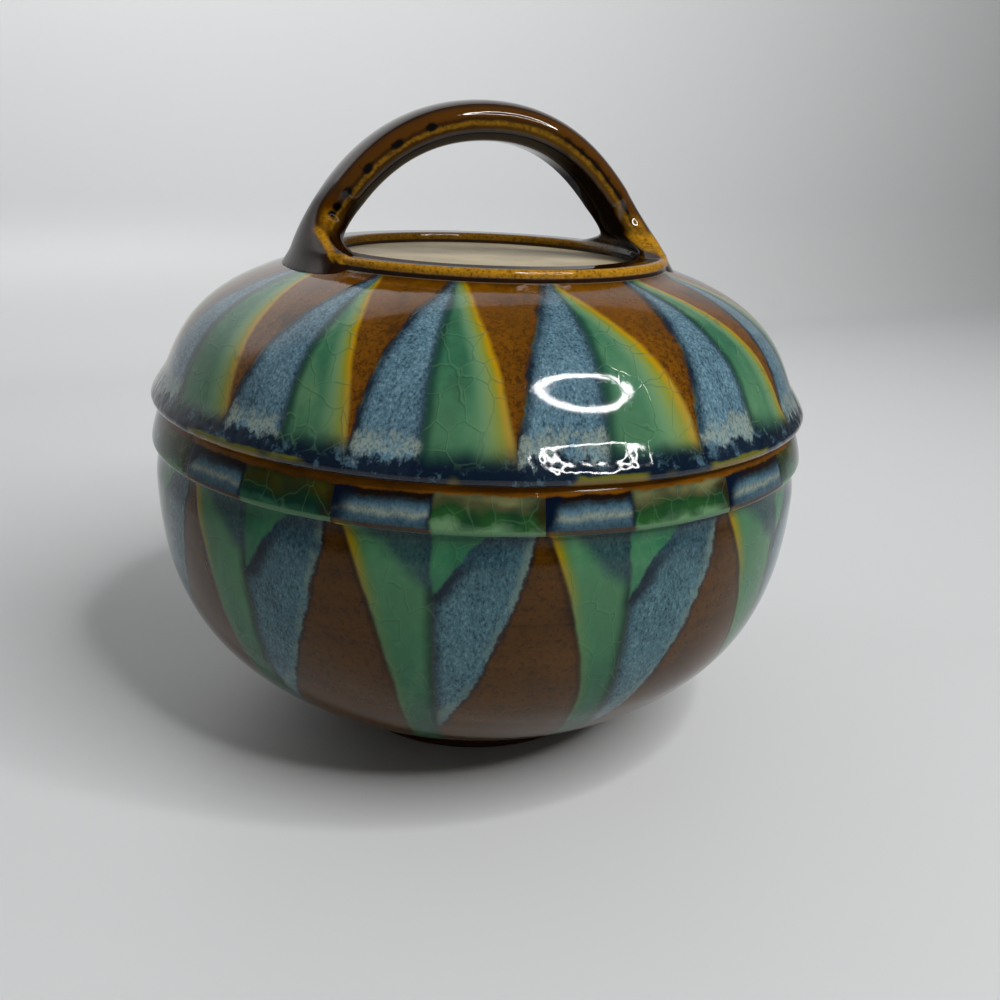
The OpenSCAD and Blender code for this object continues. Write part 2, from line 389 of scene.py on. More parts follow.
class Glaze:
    """A material whose colour, gloss and relief are worked out from places on the pot, in millimetres."""

    def __init__(self, name):
        self.material = bpy.data.materials.new(name)
        self.material.use_nodes = True
        self.tree = self.material.node_tree
        self.tree.nodes.clear()
        spot = self.node("ShaderNodeTexCoord").outputs["Object"]
        scaled = self.node("ShaderNodeVectorMath", {"operation": "SCALE"}, {0: spot, "Scale": 1 / MM})
        self.spot = scaled.outputs[0]
        axes = self.node("ShaderNodeSeparateXYZ", {}, {0: self.spot})
        self.x, self.y, self.z = (Flow(self, socket) for socket in axes.outputs)
        self.run = self.attribute("run") * (1 / MM)

    def node(self, kind, settings=None, sockets=None):
        made = self.tree.nodes.new(kind)
        for key, value in (settings or {}).items():
            if key == "stops":
                self.set_stops(made.color_ramp, value)
            else:
                setattr(made, key, value)
        for key, value in (sockets or {}).items():
            if isinstance(value, Flow):
                value = value.socket
            if isinstance(value, bpy.types.NodeSocket):
                self.tree.links.new(value, made.inputs[key])
            else:
                made.inputs[key].default_value = value
        return made

    @staticmethod
    def set_stops(ramp, stops):
        while len(ramp.elements) < len(stops):
            ramp.elements.new(1)
        for element, (place, colour) in zip(ramp.elements, stops):
            element.position = place
            element.color = (*colour[:3], 1)

    def maths(self, operation, *values):
        made = self.node("ShaderNodeMath", {"operation": operation}, dict(enumerate(values)))
        return Flow(self, made.outputs[0])

    def least(self, a, b):
        return self.maths("MINIMUM", a, b)

    def most(self, a, b):
        return self.maths("MAXIMUM", a, b)

    def radius(self):
        """How far the place is from the pot's axis."""
        return self.maths("SQRT", self.x * self.x + self.y * self.y)

    def attribute(self, name):
        made = self.node("ShaderNodeAttribute", {"attribute_name": name})
        return Flow(self, made.outputs["Fac"])

    def rise(self, value, low, high):
        """0 below low, 1 above high and a smooth rise between them."""
        made = self.node("ShaderNodeMapRange", {"interpolation_type": "SMOOTHSTEP"},
                         {"Value": value, "From Min": low, "From Max": high})
        return Flow(self, made.outputs[0])

    def fade(self, value, low, high):
        """1 below low, 0 above high and a smooth fall between them."""
        return 1 - self.rise(value, low, high)

    def band(self, value, low, high, soft):
        """1 between low and high, fading over soft outside them."""
        return self.rise(value, low - soft, low) * self.fade(value, high, high + soft)

    def stretched(self, across, along):
        """Places for a texture that runs down the wall."""
        return self.node("ShaderNodeVectorMath", {"operation": "MULTIPLY"},
                         {0: self.spot, 1: (across, across, along)}).outputs[0]

    def noise(self, size, seed, detail=2.0, rough=0.5, spot=None):
        """Cloudy noise about 0.5, with patches of that size in millimetres."""
        made = self.node("ShaderNodeTexNoise", {"noise_dimensions": "4D"},
                         {"Vector": spot or self.spot, "W": seed, "Scale": 1 / size,
                          "Detail": detail, "Roughness": rough})
        return Flow(self, made.outputs[0])

    def wander(self, amount, size, seed, detail=2.0, rough=0.5):
        """Noise about 0, times an amount."""
        return (self.noise(size, seed, detail, rough) - 0.5) * amount

    def cracks(self, size, seed):
        """The light and the dark side of the lines in a crazed network, of that mesh in millimetres."""
        bent = self.node("ShaderNodeTexNoise", {"noise_dimensions": "4D"},
                         {"Vector": self.spot, "W": seed, "Scale": 0.9 / size, "Detail": 2})
        shown = self.rise(self.noise(2 * size, seed + 0.5, 2), 0.34, 0.46)
        sides = []
        for shift in (0, 0.28):
            place = self.node("ShaderNodeVectorMath", {"operation": "ADD"},
                              {0: self.stretched(1, 0.7), 1: (shift, 0, shift)})
            pushed = self.node("ShaderNodeVectorMath", {"operation": "MULTIPLY_ADD"},
                               {0: bent.outputs["Color"], 1: (size * 0.6,) * 3, 2: place.outputs[0]})
            made = self.node("ShaderNodeTexVoronoi", {"feature": "DISTANCE_TO_EDGE"},
                             {"Vector": pushed.outputs[0], "Scale": 1 / size, "Randomness": 0.85})
            sides.append(self.fade(Flow(self, made.outputs["Distance"]), 0.005, 0.032) * shown)
        return sides

    def crazed(self, colours, colour, sides, share):
        """The colour with a crazed network over it."""
        light, dark = sides
        colour = self.blend(dark * share * 0.3, colour, colours.teal)
        return self.blend(light * share * 0.24, colour, colours.green_pale)

    def randoms(self, number):
        """Three random shares that belong to a whole number."""
        made = self.node("ShaderNodeTexWhiteNoise", {"noise_dimensions": "1D"}, {"W": number})
        parts = self.node("ShaderNodeSeparateColor", {}, {0: made.outputs["Color"]})
        return [Flow(self, socket) for socket in parts.outputs]

    def ramp(self, share, stops):
        return self.node("ShaderNodeValToRGB", {"stops": stops}, {0: share}).outputs[0]

    def blend(self, share, first, second):
        """The second colour over the first, by a share."""
        colours = [c if isinstance(c, bpy.types.NodeSocket) else (*c[:3], 1) for c in (first, second)]
        made = self.node("ShaderNodeMix", {"data_type": "RGBA"}, {0: share, 6: colours[0], 7: colours[1]})
        return made.outputs[2]

    def dimmed(self, colour, body):
        """The colour multiplied by a darker tint: painted shade on the bowl, a duller gold on the handle's
        line.
        """
        made = self.node("ShaderNodeMix", {"data_type": "RGBA", "blend_type": "MULTIPLY"},
                         {0: 1.0, 6: colour, 7: (*body, 1)})
        return made.outputs[2]

    def fire(self, colour, roughness, relief, depth=0.2, gloss=0.5, coat=0.0):
        """Ends the glaze with its shader; relief is a height of 0 to 1 for so many millimetres."""
        bump = self.node("ShaderNodeBump", {}, {"Height": relief, "Distance": depth * MM, "Strength": 1.0})
        shader = self.node("ShaderNodeBsdfPrincipled", {}, {
            "Base Color": colour, "Roughness": roughness, "Specular IOR Level": gloss, "IOR": GLASS_IOR,
            "Coat Weight": coat, "Coat Roughness": COAT_ROUGHNESS, "Coat IOR": GLASS_IOR,
            "Normal": bump.outputs[0]})
        self.node("ShaderNodeOutputMaterial", {}, {"Surface": shader.outputs[0]})
        return self.material

    # Finishes that more than one piece has

    def around(self, count, first, sway):
        """Wedge number and share of the way across that wedge, going round the pot.

        The wedges are hand laid: sway makes some wider than others. first is the
        bearing of a wedge's left side, in degrees from the front.
        """
        bearing = self.maths("ARCTAN2", self.x, -self.y)
        laid = bearing
        for waves, share, lag in sway:
            laid = laid + self.maths("SINE", bearing * waves + lag) * share
        place = self.maths("FRACT", laid / TURN - first / 360) * count
        number = self.maths("FLOOR", place)
        return number, place - number

    def honey(self, colours, seed):
        """The brown ground: streaks, thick patches and iron specks."""
        streaks = self.noise(9, seed, 3, 0.6, self.stretched(1, 0.35))
        patches = self.noise(30, seed + 1, 2)
        rings = self.noise(4, seed + 2, 2, 0.5, self.stretched(0.06, 1))
        depth = streaks * 0.4 + patches * 0.3 + rings * 0.3
        ground = self.ramp(depth, ((0.34, colours.brown_dark), (0.48, colours.brown),
                                   (0.68, shade(colours.brown, 1.45))))
        specks = self.rise(self.noise(0.95, seed + 3, 2, 0.6), 0.62, 0.72)
        return self.blend(specks * 0.7, ground, shade(colours.brown_dark, 0.6)), specks

    def mottle(self, colours, seed):
        """The mottled blue: slate thickly flecked with navy, drifting from light to dark."""
        fine = self.noise(0.62, seed, 2, 0.65, self.stretched(1, 0.6))
        drift = self.noise(9, seed + 1, 3, 0.55, self.stretched(1, 0.5))
        level = fine * 0.72 + drift * 0.28
        dusk = between(colours.blue, colours.navy, 0.7)
        return self.ramp(level, ((0.37, dusk), (0.45, shade(colours.blue, 0.74)),
                                 (0.53, colours.blue), (0.66, colours.blue_pale))), fine

    def leaf(self, colours, seed, light=1.0):
        """The clear green, a little lighter and darker in slow runs, with a few dark dots."""
        runs = self.noise(11, seed, 3, 0.55, self.stretched(1, 0.4))
        runs = runs + self.wander(0.25, 2.2, seed + 0.7, 3, 0.6)
        pale = between(colours.green, colours.green_pale)
        stops = ((0.34, shade(colours.green, 0.72)), (0.5, colours.green), (0.68, pale))
        green = self.ramp(runs, [(place, shade(tone, light)) for place, tone in stops])
        dots = self.rise(self.noise(1.0, seed + 0.5, 2, 0.6), 0.66, 0.73)
        return self.blend(dots * 0.5, green, colours.teal)


def glaze_settings():
    """The sizes, the colours and the studio's settings."""
    scene = bpy.context.scene
    return scene.pot_sizes, scene.glaze_colours, scene.studio_settings


# In the glazes below, lengths are millimetres on the pot and shares go from 0 to 1. A noise is given
# its size and its seed, and a wander its amount before them. Each sway is the number of waves round
# the pot, their share and their lag.

LID_WEDGES = 14
LID_FIRST = -59.8
LID_SWAY = ((4, 0.044, 2.34), (9, 0.006, 0.5))
BOWL_WEDGES = 12
BOWL_FIRST = -35.0
BOWL_SWAY = ((2, 0.03, 2.2), (5, 0.016, 0.4))
# Painted shade on the bowl, as darker tints over its wedges and its brown ground; a duller tint for the gold
# line along the handle
BOWL_PAINTED_SHADE = (0.62, 0.73, 0.68)
GROUND_PAINTED_SHADE = (0.76, 0.7, 0.6)
LINE_BODY = (0.55, 0.55, 0.5)
# Roughness of clean glaze, and how much rougher bare clay is
LID_GLOSS = 0.07
BOWL_GLOSS = 0.08
CLAY_DULL = 0.5
# Height that the colours of the rim band are spread over
BAND_H = 10


def lid_glaze(lid_run):
    """Wedges of blue and green that widen from the collar to the lid's edge, over brown."""
    _, colours, _ = glaze_settings()
    g = Glaze("lid_glaze")
    number, across = g.around(LID_WEDGES, LID_FIRST, LID_SWAY)
    lean, share, tip = g.randoms(number + 0.5)
    up = g.most(g.run, 0) / lid_run
    radius = g.radius()
    width = radius * (TURN / LID_WEDGES)
    wobble = g.wander(2.8, 11, 1.0, 3, 0.55)
    ragged = g.wander(1.8, 1.8, 2.0, 3, 0.6)
    left = (0.28 + 0.14 * lean) * up ** 1.8
    middle = 0.46 + 0.07 * share + (0.14 * lean - 0.09) * up
    right = 1.0 - (0.52 - 0.12 * tip) * up ** 1.75
    from_left = (across - left) * width + wobble + ragged
    from_middle = (across - middle) * width + wobble * 0.6
    from_right = (right - across) * width + wobble * 0.8
    ground, specks = g.honey(colours, 3.0)
    glow = g.band(from_right, -4, 0, 5)
    ground = g.blend(glow * 0.4, ground, shade(colours.brown, 1.6))
    burnt = g.rise(g.noise(1.2, 9.0, 3, 0.7), 0.44, 0.62) * (1 - g.rise(g.run, 26, 58) * 0.6)
    ground = g.blend(burnt * 0.62, ground, colours.brown_dark)
    blue, fine = g.mottle(colours, 7.0)

    green = g.leaf(colours, 10.0)
    green = g.blend(g.fade(g.run, 12, 34) * 0.3, green, colours.green_pale)
    pooled = g.fade(abs(from_middle), 0.3, 3.6 - 1.8 * up)
    green = g.blend(pooled * 0.8, green, colours.teal)
    thinning = from_right / (12 - 8.5 * up)
    thin = g.ramp(thinning, ((0.0, shade(colours.amber, 0.85)), (0.08, colours.amber), (0.24, colours.olive),
                             (0.42, between(colours.olive, colours.green_pale)),
                             (0.62, shade(colours.green_pale, 0.88)), (1.0, colours.green)))
    thin = g.blend(g.fade(g.run, 10, 32) * 0.25, thin, colours.green_pale)
    green = g.blend(g.fade(thinning, 0.7, 1.15), green, thin)
    in_wedge = g.rise(from_right, -1.0, 0.5)
    before_blue = g.fade(from_left, -0.6, 0.5)
    in_blue = (1 - before_blue) * g.fade(from_middle, -1.4, 0.8)
    colour = g.blend(in_wedge, ground, green)
    colour = g.blend(before_blue, colour, ground)
    shore = g.most(g.fade(from_left, 0.2, 3.4), pooled)
    colour = g.blend(in_blue, colour, g.blend(shore * 0.7, blue, colours.navy))
    outline = g.fade(abs(from_left + 0.1), 0.2, 1.5) * g.fade(from_middle, 0, 2)
    colour = g.blend(outline * g.rise(g.noise(7, 8.0, 2), 0.3, 0.6) * 0.85, colour, colours.navy)

    low = g.run + g.wander(9, 17, 11.0, 2)
    tongues = g.noise(2.8, 12.0, 3, 0.65, g.stretched(1, 0.3))
    runny = low + (tongues - 0.5) * 13
    streaming = g.noise(6, 13.0, 3, 0.6)
    milky = g.band(runny, 8.0, 11.5, 3.0) * in_blue * g.rise(streaming, 0.37, 0.53)
    colour = g.blend(milky * (0.35 + 0.45 * g.rise(fine, 0.4, 0.55)), colour, colours.cream)
    sunk = g.fade(low, 4, 14) * (1 - in_blue)
    colour = g.blend(sunk * 0.9, colour, colours.teal)
    blue_pool = in_blue * g.fade(runny, 6.0, 8.5)
    pool = blue_pool + (1 - in_blue) * g.fade(low * 0.8 + runny * 0.2, 5.0, 11.5)
    smears = g.rise(g.noise(4.5, 19.0, 4, 0.75), 0.53, 0.68)
    colour = g.blend(pool * 0.96, colour, g.blend(smears * 0.55, colours.navy, colours.blue))
    trim = g.band(g.run + g.wander(2, 5, 14.5, 2), 1.0, 3.0, 0.8)
    trim = trim * g.rise(g.noise(20, 14.0, 2), 0.47, 0.54)
    edge = g.blend(g.rise(g.run, 1.6, 3.2), shade(colours.amber, 0.45), shade(colours.olive, 0.6))
    colour = g.blend(trim * 0.85, colour, edge)
    bare = g.fade(g.run, 0.5, 1.2)
    clay = g.ramp(g.noise(4, 15.0, 3), ((0.36, shade(colours.clay, 0.5)), (0.62, shade(colours.clay, 1.3))))
    colour = g.blend(bare, colour, clay)
    # Darker brown in the sweep under the collar's bead: partly dark glaze pooled there, partly painted shade
    # under the bead
    pooled_and_shaded = g.rise(g.run + g.wander(6, 6, 16.0, 2), lid_run - 3.0, lid_run + 0.5)
    colour = g.blend(pooled_and_shaded * 0.6, colour, colours.brown_dark)
    crown = g.rise(g.run, lid_run - 0.3, lid_run + 0.6)
    disc = g.ramp(g.noise(9, 17.0, 4, 0.6, g.stretched(0.6, 1)),
                  ((0.36, shade(colours.disc, 0.8)), (0.64, shade(colours.disc, 1.05))))
    colour = g.blend(crown, colour, disc)
    inner = g.fade(g.run, -3.5, -2.5)
    colour = g.blend(inner, colour, ground)

    crazing = g.cracks(CRAZE_MESH, 16.0)
    on_green = in_wedge * (1 - in_blue) * (1 - before_blue) * g.rise(g.run, 4, 8)
    colour = g.crazed(colours, colour, crazing, on_green)
    relief = in_wedge * (1 - before_blue) * 0.12 + g.rise(from_middle, -4, 4) * 0.5
    lumps = g.noise(4.4, 17.5, 1) * g.fade(g.run, 7, 12) * 1.8 + crazing[0] * on_green * 0.06
    relief = relief + fine * in_blue * 0.03 + specks * 0.03 + g.noise(8, 18.0, 2) * 0.3 + lumps
    dull = g.most(bare * (1 - inner), crown)
    return g.fire(colour, LID_GLOSS + dull * CLAY_DULL, relief)


def bowl_glaze(ridge_run, wall_run):
    """A rim band of blocks, and wedges that narrow from the ridge to the foot, over brown."""
    _, colours, _ = glaze_settings()
    g = Glaze("bowl_glaze")
    number, across = g.around(BOWL_WEDGES, BOWL_FIRST, BOWL_SWAY)
    lean, share, tip = g.randoms(number + 0.5)
    below = g.run - ridge_run
    down = g.most(below, 0)
    radius = g.radius()
    width = radius * (TURN / BOWL_WEDGES)
    wobble = g.wander(3.0, 12, 21.0, 3, 0.55)
    ragged = g.wander(3.2, 2.2, 22.0, 3, 0.65)
    fall = g.least(down / 58, 1)
    left = 0.015 + (0.2 + 0.08 * lean) * (1 - (1 - fall) ** 1.7)
    middle = 0.45 + 0.06 * share + 0.0004 * down
    reach = 60 + 16 * tip
    right = 0.96 - (0.96 - middle) * g.least(down / reach, 1.4) ** 1.45
    from_left = (across - left) * width + wobble * 0.7
    from_middle = (across - middle) * width + wobble * 0.9
    from_right = (right - across) * width + wobble + ragged
    ground, specks = g.honey(colours, 23.0)
    burnt = g.rise(g.noise(1.2, 30.5, 3, 0.7), 0.48, 0.66)
    lines = g.noise(1.6, 30.7, 3, 0.6, g.stretched(0.05, 1))
    ground = g.blend(g.rise(lines, 0.45, 0.62) * 0.35, ground, shade(colours.brown, 1.5))
    # Painted shade: the bowl's brown ground is darkened by a tint
    ground = g.dimmed(g.blend(burnt * 0.5, ground, colours.brown_dark), GROUND_PAINTED_SHADE)
    blue, fine = g.mottle(colours, 27.0)

    green = g.leaf(colours, 29.0, 1.3)
    green = g.blend(g.fade(down, 18, 52) * 0.45, green, colours.green_pale)
    green = g.blend(g.rise(down, 25, 75) * 0.55, green, colours.teal)
    pooled = g.fade(abs(from_middle), 0.3, 3.2)
    green = g.blend(pooled * 0.8, green, colours.teal)
    thinning = from_left / (6.5 - 3 * fall)
    thin = g.ramp(thinning, ((0.0, colours.amber), (0.12, colours.amber),
                             (0.32, colours.olive), (0.8, colours.green)))
    green = g.blend(g.fade(thinning, 0.25, 0.9) * (1 - g.rise(down, 4, 30) * 0.85), green, thin)
    in_green = g.rise(from_left, -0.7, 0.5) * g.fade(from_middle, -0.6, 1.0)
    in_blue = g.rise(from_middle, -0.6, 1.0) * g.rise(from_right, -0.5, 0.6)
    colour = g.blend(in_green, ground, green)
    dark_side = g.fade(abs(from_left + 0.7), 0.2, 1.4) * 0.5
    colour = g.blend(dark_side, colour, colours.brown_dark)
    fringe = g.fade(from_right - g.rise(down, 45, 65) * 4, 0.8, 3.0) * 0.5
    fringe = fringe * g.rise(g.noise(6, 30.0, 2), 0.36, 0.6)
    dusky = g.most(g.fade(down, 4, 24) * 0.5, pooled * 0.6)
    colour = g.blend(in_blue, colour, g.blend(fringe, g.blend(dusky, blue, colours.navy), colours.cream))
    outline = g.fade(abs(from_right + 0.4), 0.2, 1.1) * g.rise(from_middle, 0, 2)
    colour = g.blend(outline * 0.55, colour, colours.navy)

    drift = g.wander(7, 6, 39.0, 2)
    veil_left = 0.1 + (middle - 0.1) * (down / 19)
    from_veil = (across - veil_left) * width + drift
    veil = g.rise(from_veil, -3.0, 4.0) * g.fade(from_middle, -1, 1) * g.fade(down, 13, 20)
    colour = g.blend(veil * 0.86, colour, g.blend(0.68, blue, colours.navy))
    drip_end = 17 + 4 * tip
    drip_side = middle + 0.36 - 0.36 * (down / drip_end) ** 0.7
    drip_right = (drip_side - across) * width + drift * 0.6 + ragged * 0.4
    drip = g.rise(drip_right, -0.5, 0.8) * g.rise(from_middle + drift * 0.3, -0.5, 0.8)
    drip_line = g.fade(abs(drip_right + 1.2), 0.5, 2.6 + 0.14 * down) * g.rise(from_middle, -3, 1)
    drip_line = drip_line * g.fade(down, drip_end, drip_end + 4) * (0.2 + 0.7 * g.rise(down, 5, 15))
    colour = g.blend(drip_line, colour, colours.navy)
    colour = g.blend(drip, colour, g.leaf(colours, 38.0, 1.25))
    # Painted shade: the wedges on the bowl's wall are darkened by a tint
    colour = g.dimmed(colour, BOWL_PAINTED_SHADE)

    height = -below
    soft = g.wander(7, 4.2, 35.0, 3, 0.6)
    slide = g.wander(7, 9, 35.5, 2)
    blots = g.noise(1.9, 41.0, 3, 0.65) - 0.5
    level = height + soft * 0.4 + blots
    to_turn = (middle - across) * width + slide * 0.5
    ends = g.least(across * width + 1.5 - level * 0.5 + slide + soft, to_turn * 3 + soft)
    block = g.ramp(level / BAND_H, ((0.12, shade(colours.blue, 0.4)), (0.24, shade(colours.blue, 0.6)),
                                    (0.37, shade(colours.cream, 0.85)), (0.52, shade(colours.blue, 0.8)),
                                    (0.68, shade(colours.blue, 0.2)), (0.78, shade(colours.brown_dark, 0.6))))
    block = g.blend(g.fade(fine, 0.4, 0.56) * 0.3, block, colours.navy)
    block = g.blend(g.rise(ends, 0.0, 5.0), shade(colours.navy, 0.8), block)
    tone = level / BAND_H + g.wander(0.9, 9, 40.0, 1)
    fresh = g.ramp(tone, ((0.1, shade(colours.green_pale, 0.85)), (0.28, shade(colours.moss, 1.2)),
                          (0.48, shade(colours.moss, 0.8)), (0.66, shade(colours.straw, 0.34)),
                          (0.84, shade(colours.straw, 0.75))))
    deep = g.ramp(tone, ((0.12, shade(colours.green, 0.7)), (0.28, colours.teal),
                         (0.48, shade(colours.moss, 0.5)), (0.68, shade(colours.olive, 0.14)),
                         (0.86, shade(colours.olive, 0.2))))
    patch = g.blend(g.rise(share + soft * 0.03, 0.3, 0.5), fresh, deep)
    stains = g.rise(g.noise(7, 42.0, 1), 0.42, 0.66) * 0.5
    patch = g.blend(stains, patch, shade(colours.teal, 0.6))
    patch = g.blend(g.fade((1 - across) * width + soft, 0, 4) * 0.8, patch, colours.brown_dark)
    in_block = g.rise(to_turn + soft * 0.4, -0.7, 0.7)
    rim = g.blend(in_block, patch, block)
    # The honey-brown strip just under the lid's edge: partly the glaze's own honey, partly painted light,
    # brown up to 2.2 times lighter where the lid's edge shades it
    lightened_strip = g.rise(height + soft * 0.3, 8.6, 9.4)
    streaky = g.noise(5, 36.0, 3, 0.6, g.stretched(0.4, 1))
    rim = g.blend(lightened_strip, rim, g.ramp(streaky, ((0.35, colours.brown), (0.65, shade(colours.brown, 2.2)))))
    on_band = g.rise(height, -0.2, 0.9) * g.rise(g.run, 0.6, 1.6)
    colour = g.blend(on_band, colour, rim)
    # Along the ridge: glaze worn thin to clay over the blocks and pale green over the patches, the pale green
    # partly a painted highlight along the ridge's top
    ridge = g.band(below + ragged * 0.1, -0.4, 0.3, 0.5)
    worn_and_highlit = g.blend(in_block, shade(colours.green_pale, 0.7), shade(colours.clay, 0.6))
    colour = g.blend(ridge * 0.75, colour, worn_and_highlit)
    seat = g.fade(g.run, -0.2, 1.2)
    clay = g.ramp(g.noise(3, 33.0, 3), ((0.3, shade(colours.clay, 0.55)), (0.6, colours.clay)))
    colour = g.blend(seat, colour, clay)
    inner = g.fade(g.run, -7.5, -6.5)
    colour = g.blend(inner, colour, ground)
    under = g.rise(g.run, wall_run - 3, wall_run - 0.5)
    colour = g.blend(under, colour, clay)

    crazing = g.cracks(CRAZE_MESH, 34.0)
    on_green = g.most(in_green * (1 - veil), drip) * (1 - on_band)
    on_green = g.most(on_green, on_band * (1 - in_block) * (1 - lightened_strip))
    colour = g.crazed(colours, colour, crazing, on_green * 0.6)
    relief = (in_green + in_blue) * 0.3 + fine * in_blue * 0.03
    relief = relief + crazing[0] * on_green * 0.08 + specks * 0.03 + g.noise(8, 37.0, 2) * 0.3
    raw = g.most(seat * (1 - inner), under)
    return g.fire(colour, BOWL_GLOSS + raw * CLAY_DULL, relief, gloss=0.25)


def handle_glaze():
    """Dark brown that breaks golden over the edges and pools black in the grooves.

    The attribute across goes from -1 inside the arch to 1 outside it, and height starts at the collar.
    """
    s, colours, _ = glaze_settings()
    g = Glaze("handle_glaze")
    across = g.attribute("across") + g.wander(0.22, 4, 46.0, 2)
    face = g.rise(g.attribute("front"), 0.35, 0.75)
    height = g.z - COLLAR_TOP / MM
    radius = g.radius()
    on_strap = g.rise(height, 1.5, 5)
    rightward = g.rise(g.x, -14, 14)
    streaks = g.noise(6, 41.0, 3, 0.6)
    ground = g.ramp(streaks, ((0.3, shade(colours.strap_brown, 0.5)), (0.5, colours.strap_brown),
                              (0.75, shade(colours.strap_brown, 1.6))))
    grain = g.noise(0.9, 43.0, 2, 0.6)
    gold = g.ramp(grain, ((0.34, shade(colours.gold, 0.45)), (0.46, shade(colours.gold, 0.95)),
                          (0.66, shade(colours.gold, 1.35))))
    honeyed = g.band(across, 0.2, 0.6, 0.25) * face * on_strap
    colour = g.blend(honeyed * 0.5, ground, colours.brown)
    within = g.band(across, -0.42, 0.0, 0.18) * face * on_strap
    colour = g.blend(within * (0.3 + 0.4 * rightward), colour, shade(colours.gold, 0.24))
    line = g.fade(abs(across + 0.12), 0.03, 0.17) * face * on_strap
    shine = 0.2 + 0.5 * g.rise(g.noise(4, 42.0, 3, 0.6), 0.36, 0.55)
    colour = g.blend(line * shine, colour, g.dimmed(gold, LINE_BODY))
    groove = g.fade(abs(across - GROOVE_PLACE), 0.03, 0.13) * face * g.rise(height, 6, 10)
    colour = g.blend(groove * (0.45 + 0.45 * g.rise(g.x, 15, 25)), colour, colours.pit)
    # The inside of the arch is painted almost black: painted shade where the arch hides it from the light
    under = g.fade(across, -0.6, -0.3) * on_strap
    colour = g.blend(under * 0.9, colour, shade(colours.strap_brown, 0.2))
    spread = g.most(1 - height / (s.root_h / MM), 0) ** ROOT_FLARE * (s.root_spread / MM)
    lip = g.fade(abs(s.strap_depth / MM / 2 + spread - 1.5 - abs(g.y)), 0.5, 2.6)
    lip = lip * g.band(height, -0.5, 8, 4) * g.rise(across, -0.2, 0.2)
    colour = g.blend(lip * 0.75, colour, gold)
    ridge_r = (s.collar_r - s.collar_round) / MM
    hollow_r = (s.collar_r - s.collar_w) / MM
    outer_bead = g.rise(radius, ridge_r - 0.4, ridge_r + 0.5)
    outer_bead = outer_bead * g.fade(radius, ridge_r + 1.8, ridge_r + 2.4)
    inner_bead = g.fade(radius, hollow_r + 0.6, hollow_r + 1.8)
    at_back = g.rise(g.y, -8, 8)
    bead = (outer_bead + inner_bead * at_back * 0.5) * g.band(height, -1.9, 0.1, 0.5)
    # The collar's front inner edge is painted with the pits' black: a painted shadow in the gap over the disc
    colour = g.blend(inner_bead * (1 - at_back) * (1 - on_strap) * 0.9, colour, colours.pit)
    beside_root = abs(g.y) / radius
    clear = g.rise(beside_root - 0.3 * g.rise(-g.x, 0, 10), 0.1, 0.22)
    bead = g.least(bead, 1) * (1 - on_strap) * clear
    colour = g.blend(bead * 0.9, colour, gold)
    crest_height = 0.2 + 0.43 * (23 - abs(g.y))
    ribbon = g.fade(abs(across - 0.19 * height + 0.5), 0.1, 0.36)
    ribbon = ribbon * (1 - rightward) + g.band(across, -0.62, 0.5, 0.3) * rightward
    crest = g.fade(abs(height - crest_height), 0.5, 1.5) * ribbon
    crest = crest * g.rise(abs(g.y), 9, 13) * g.fade(abs(g.y), 24, 27) * (1 - 0.4 * at_back)
    colour = g.blend(crest * 0.9, colour, gold)
    pits = g.attribute("pits") + g.wander(0.6, 2.2, 47.0, 2)
    colour = g.blend(g.rise(pits, 0.3, 0.8) * (1 - 0.45 * rightward), colour, colours.pit)
    specks = g.rise(g.noise(1.1, 44.0, 2, 0.6), 0.64, 0.72)
    colour = g.blend(specks * 0.6, colour, colours.brown_dark)
    relief = g.noise(5, 45.0, 2) * 0.5 + specks * 0.1
    shut_in = under * g.rise(g.x, 12, 26)
    left_lip = g.band(height, 1, 12, 3) * face * g.fade(g.x, -44, -38) * 0.9
    flank = g.band(height, -6, 12, 4) * g.fade(g.x, -50, -44) * 0.4
    in_front = g.fade(radius, ridge_r - 1, ridge_r) * (1 - at_back) * (1 - on_strap)
    coat = (1 - shut_in * 0.92) * (1 - left_lip) * (1 - flank) * (1 - crest * 0.85)
    coat = coat * (1 - in_front * (0.8 - 0.3 * rightward)) * (1 - bead * 0.4)
    return g.fire(colour, 0.2 + streaks * 0.1 + shut_in * 0.3, relief, gloss=0.0, coat=coat)


def bare_clay(name, seed, light=1.0):
    """Unglazed stoneware, wiped and fired."""
    _, colours, _ = glaze_settings()
    g = Glaze(name)
    grain = g.noise(1.2, seed, 3, 0.65)
    rings = g.noise(3, seed + 1, 2, 0.5, g.stretched(0.1, 1))
    tone = grain * 0.5 + rings * 0.5
    stops = ((0.3, 0.5), (0.55, 1), (0.75, 1.3))
    colour = g.ramp(tone, [(place, shade(colours.clay, light * share)) for place, share in stops])
    specks = g.rise(g.noise(1.6, seed + 2, 2, 0.6), 0.65, 0.72)
    colour = g.blend(specks * 0.7, colour, colours.brown_dark)
    return g.fire(colour, 0.62 + grain * 0.2, grain * 0.6 + rings * 0.4, 0.16, 0.2)


# Pieces: slopes are in degrees, and a reach says how far a curve holds the slope of its end

BASE_SLOPE = 27
BASE_REACH = 40 * MM
BELLY_REACH = 43 * MM
NOSE_ARC = (-120, 8)
BAND_SLOPE = 98
MOUTH_EASE = 0.4
WELL_ROUND = 9 * MM
EDGE_ARC = (-90, 40)
EDGE_REACH = 12 * MM
SHOULDER_SLOPE = -17
SHOULDER_REACH = 35.3 * MM
SWEEP_SHARE = 0.6
SWEEP_END = Vector((0.3 * MM, 1.1 * MM))
BEAD_ARC = (-40, 90)
# Radii of softened corners, and the room that a wall leaves for one
BOWL_SOFT = 0.8 * MM
FOOT_SOFT = 0.9 * MM
HOLLOW_SOFT = 1.2 * MM
FLANGE_SOFT = 1 * MM
CHAMFER = 1.2 * MM
CHAMFER_SOFT = 0.6 * MM
CORNER_ROOM = 1.5 * MM
